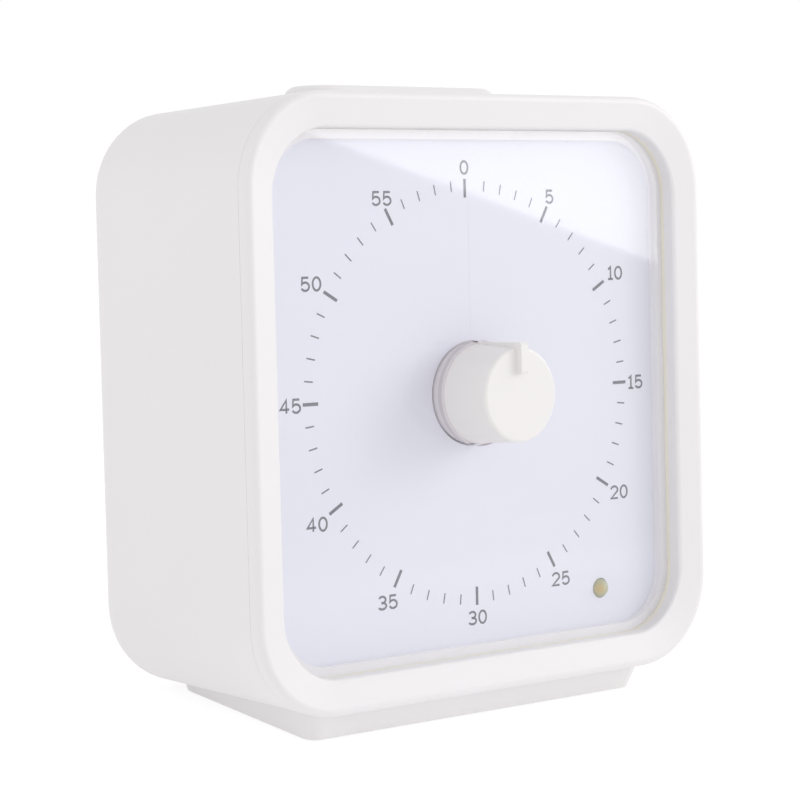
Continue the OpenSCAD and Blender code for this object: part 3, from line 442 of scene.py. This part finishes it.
def ribbon(corners, faces, line, width):
    """Adds a stroke of even width along a line, with its corners mitred."""
    first = len(corners)
    points = [Vector(p) for p in line]
    for i, point in enumerate(points):
        before = (point - points[i - 1]).normalized() if i else (points[1] - point).normalized()
        after = (points[i + 1] - point).normalized() if i + 1 < len(points) else before
        side = Vector((-before.y - after.y, before.x + after.x)).normalized()
        stretch = 1 / max(MITRE_LIMIT, side.dot(Vector((-after.y, after.x))))
        corners += [point + side * stretch * width / 2, point - side * stretch * width / 2]
    faces += [(k, k + 1, k + 3, k + 2) for k in range(first, len(corners) - 2, 2)]


def printed(name, corners, faces, material):
    """Lays flat strokes on the dial as a film of ink that rides on the case."""
    film = new_piece(name, [on_dial(*corner, INK_OUT) for corner in corners], faces, material)
    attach(film, "casing")


# Screen ink: flat grey, with the mesh's faint unevenness
ink = moulded("screen ink, grey", INK_GREY, INK_GREY_PALE, 0.2, 4.0, 0.5, 0.002, 1.5)

corners, faces = [], []
for minute in range(60):
    turn = math.radians(6 * minute)
    inner, outer, width = SHORT_TICK if minute % 5 else LONG_TICK
    aside = 0 if minute else ZERO_TICK_LEFT
    tick = [(r * math.sin(turn) - aside, r * math.cos(turn)) for r in (inner, outer)]
    ribbon(corners, faces, tick, width)
printed("minute_ticks", corners, faces, ink)

corners, faces = [], []
for minute, (middle_x, y) in NUMBER_MIDDLES.items():
    figures = str(minute)
    step = FIGURE_STEP_AFTER_ONE if figures[0] == "1" else FIGURE_STEP
    for place_in_number, figure in enumerate(figures):
        x = middle_x + step * (place_in_number - (len(figures) - 1) / 2)
        for line in FIGURES[figure]:
            stroke = [(x + u * FIGURE_HALF_WIDTH, y + v * FIGURE_HALF_HEIGHT) for u, v in line]
            ribbon(corners, faces, stroke, FIGURE_STROKE)
printed("minute_numbers", corners, faces, ink)

# ---- Lens and its tape ----
# A flat pane of clear acrylic, polished on its faces and sawn at its edge, held to the
# bezel's ledge by a frame of clear double-sided tape.

LENS_TINT = "#FCFDFF"
LENS_EDGE = "#F3EEDD"
# Painted shade: the pale grey given to the routed bore stands for the shade beside the knob
LENS_BORE_PAINTED_SHADE = "#CFC8CC"
LENS_BORE_REACH = 15.0
LENS_POLISH = (0.02, 0.035)
LENS_RIM_BELOW = 0.5

# The tape shows as a pale strip round the dial
dress(moulded("acrylic tape", "#EFECEE", "#ECE9EA", 0.4, 5.0, 0.4, 0.01, 1.47), "lens_tape")

# Polished acrylic: clear, with sharp reflections that a faint haze softens. Its sawn outer edge
# shows as a thin cream line. Its routed bore is painted pale grey: painted shade, for the shade
# that lies beside the knob under the lens. Lamp and diffuse rays pass straight through, as they
# nearly do through a thin pane.
lens_material, tree = new_material("clear acrylic, polished")
rays = add(tree, "ShaderNodeLightPath")
unseen = add(tree, "ShaderNodeMath", {
    0: rays.outputs["Is Shadow Ray"], 1: rays.outputs["Is Diffuse Ray"]}, operation="MAXIMUM")
place = add(tree, "ShaderNodeTexCoord").outputs["Object"]
haze = add(tree, "ShaderNodeTexNoise", {"Vector": place, "Scale": per_mm(12.0), "Detail": 2.0})
polish = add(tree, "ShaderNodeMapRange", {
    "Value": haze.outputs["Fac"], "To Min": LENS_POLISH[0], "To Max": LENS_POLISH[1]})
acrylic = add(tree, "ShaderNodeBsdfPrincipled", {
    "Base Color": linear(LENS_TINT), "Roughness": polish.outputs["Result"],
    "Transmission Weight": 1.0, "IOR": 1.49})
faces_to = add(tree, "ShaderNodeNewGeometry").outputs["Normal"]
facing = add(tree, "ShaderNodeVectorMath", {0: faces_to, 1: tuple(dial_out)},
             operation="DOT_PRODUCT")
steep = add(tree, "ShaderNodeMath", {0: facing.outputs["Value"]}, operation="ABSOLUTE")
rim = add(tree, "ShaderNodeMath", {0: steep.outputs["Value"], 1: LENS_RIM_BELOW},
          operation="LESS_THAN")
off_middle = add(tree, "ShaderNodeVectorMath", {0: place, 1: tuple(dial_middle)},
                 operation="DISTANCE")
at_bore = add(tree, "ShaderNodeMath", {
    0: off_middle.outputs["Value"], 1: LENS_BORE_REACH * MM}, operation="LESS_THAN")
# The sawn edge's cream, and the bore's grey, which is painted shade
edge_cream_and_bore_shade = add(tree, "ShaderNodeMix", {
    "Factor": at_bore.outputs["Value"], "A": linear(LENS_EDGE), "B": linear(LENS_BORE_PAINTED_SHADE)},
    data_type="RGBA")
edge_and_bore_surface = add(tree, "ShaderNodeBsdfPrincipled", {
    "Base Color": edge_cream_and_bore_shade.outputs["Result"], "Roughness": 0.5, "IOR": 1.49})
pane = add(tree, "ShaderNodeMixShader", {
    0: rim.outputs["Value"], 1: acrylic.outputs["BSDF"], 2: edge_and_bore_surface.outputs["BSDF"]})
clear = add(tree, "ShaderNodeBsdfTransparent")
seen = add(tree, "ShaderNodeMixShader", {
    0: unseen.outputs["Value"], 1: pane.outputs["Shader"], 2: clear.outputs["BSDF"]})
add(tree, "ShaderNodeOutputMaterial", {"Surface": seen.outputs["Shader"]})
dress(lens_material, "lens")

# ---- Knob ----
# White ABS from its own polished cavity, a shade warmer and smoother than the case,
# pressed onto the spindle's flat.

# Smooth ABS: a tighter highlight than the case's, and no grain to see
dress(moulded("white ABS, smooth", "#F0EDEC", "#EEEBEA", 0.5, 12.0, 0.34, 0.004), "knob")

# ---- Floor ----
# A wide white sweep. To the camera it is as white as the background, apart from the
# shadow that the timer throws on it.

FLOOR_HALF = 4.0
TABLE_SHADE = 0.8
TABLE_GLOW = 0.25
SEEN_SHADE = 0.3
SEEN_GLOW = 0.8


def seen_directly(tree):
    """One for rays by which the camera sees a thing: straight, mirrored or through the lens."""
    rays = add(tree, "ShaderNodeLightPath")
    mirrored = add(tree, "ShaderNodeMath", {
        0: rays.outputs["Is Camera Ray"], 1: rays.outputs["Is Glossy Ray"]}, operation="MAXIMUM")
    through = add(tree, "ShaderNodeMath", {
        0: mirrored.outputs["Value"], 1: rays.outputs["Is Transmission Ray"]},
        operation="MAXIMUM")
    return through.outputs["Value"]


# Sweep paper: matt white, with no detail of its own at this distance
floor_material, tree = new_material("white sweep")
paper = add(tree, "ShaderNodeBsdfDiffuse", {
    "Color": (TABLE_SHADE, TABLE_SHADE, TABLE_SHADE, 1)})
glow = add(tree, "ShaderNodeEmission", {"Color": (1, 1, 1, 1), "Strength": TABLE_GLOW})
table = add(tree, "ShaderNodeAddShader", {0: paper.outputs["BSDF"], 1: glow.outputs["Emission"]})
thinned = add(tree, "ShaderNodeBsdfDiffuse", {
    "Color": (SEEN_SHADE, SEEN_SHADE, SEEN_SHADE, 1)})
lift = add(tree, "ShaderNodeEmission", {"Color": (1, 1, 1, 1), "Strength": SEEN_GLOW})
white = add(tree, "ShaderNodeAddShader", {0: thinned.outputs["BSDF"], 1: lift.outputs["Emission"]})
sweep = add(tree, "ShaderNodeMixShader", {
    0: seen_directly(tree), 1: table.outputs["Shader"], 2: white.outputs["Shader"]})
add(tree, "ShaderNodeOutputMaterial", {"Surface": sweep.outputs["Shader"]})

corners = [(x * FLOOR_HALF, y * FLOOR_HALF, 0) for x, y in ((-1, -1), (1, -1), (1, 1), (-1, 1))]
floor = new_piece("floor", corners, [(0, 1, 2, 3)], floor_material)

# ---- Light ----
# A white tent all round, and one wide softbox high on the right whose reflection lies
# across the upper right of the lens. Two broad panels graze the dial, from the right and
# from above on the left, too far round for the lens to mirror them to the camera.

TENT_STRENGTH = 0.74
PANEL_SIDE = 0.7
PANEL_AWAY = 1.3
PANELS = (("right panel", 62.0, 22.0, 2.1), ("left panel", -84.0, 40.0, 1.05))
SOFTBOX_AWAY = 1.2
SOFTBOX_WIDE = 0.66
SOFTBOX_HIGH = 0.46
SOFTBOX_RADIANCE = 1.85
SOFTBOX_EDGE_SEEN_AT = ((-20.0, 35.3, 2.75), (36.5, 18.9, 2.75))


def area_light(name, wide, high, radiance, turned, middle):
    """A rectangular lamp that the camera can't see. turned holds its right, up and back."""
    lamp_data = bpy.data.lights.new(name, "AREA")
    lamp_data.shape = "RECTANGLE"
    lamp_data.size = wide
    lamp_data.size_y = high
    lamp_data.energy = radiance * math.pi * wide * high
    lamp = bpy.data.objects.new(name, lamp_data)
    lamp.matrix_world = turned.to_4x4()
    lamp.matrix_world.translation = middle
    bpy.context.scene.collection.objects.link(lamp)
    lamp.visible_camera = False


world = bpy.data.worlds.new("white tent")
world.use_nodes = True
tree = world.node_tree
tree.nodes.clear()
tent = add(tree, "ShaderNodeBackground", {"Color": (1.0, 1.0, 1.0, 1), "Strength": TENT_STRENGTH})
backdrop = add(tree, "ShaderNodeBackground", {"Color": (1, 1, 1, 1), "Strength": 1.0})
mixed = add(tree, "ShaderNodeMixShader", {
    0: seen_directly(tree), 1: tent.outputs["Background"], 2: backdrop.outputs["Background"]})
add(tree, "ShaderNodeOutputWorld", {"Surface": mixed.outputs["Shader"]})
bpy.context.scene.world = world

# The softbox's lower edge runs where the lens mirrors those two of its points to the camera
ends = []
for seen_at in SOFTBOX_EDGE_SEEN_AT:
    glint = on_dial(*seen_at)
    incoming = (glint - eye).normalized()
    mirrored = incoming - 2 * incoming.dot(dial_out) * dial_out
    ends.append(glint + mirrored * SOFTBOX_AWAY)
along = (ends[1] - ends[0]).normalized()
edge_middle = (ends[0] + ends[1]) / 2
outward = edge_middle - dial_middle
outward = (outward - along * outward.dot(along)).normalized()
upward = outward.cross(along)
area_light("wide softbox", SOFTBOX_WIDE, SOFTBOX_HIGH, SOFTBOX_RADIANCE,
           Matrix((along, upward, outward)).transposed(), edge_middle + upward * SOFTBOX_HIGH / 2)

# Each panel has its name, its turn to the right and its lift in degrees, and its radiance
for name, turn, lift, radiance in PANELS:
    turn, lift = math.radians(turn), math.radians(lift)
    sideways = dial_out * math.cos(turn) + dial_right * math.sin(turn)
    toward = sideways * math.cos(lift) + dial_up * math.sin(lift)
    area_light(name, PANEL_SIDE, PANEL_SIDE, radiance,
               toward.to_track_quat("Z", "Y").to_matrix(), dial_middle + toward * PANEL_AWAY)

bpy.context.scene.view_settings.view_transform = "Standard"
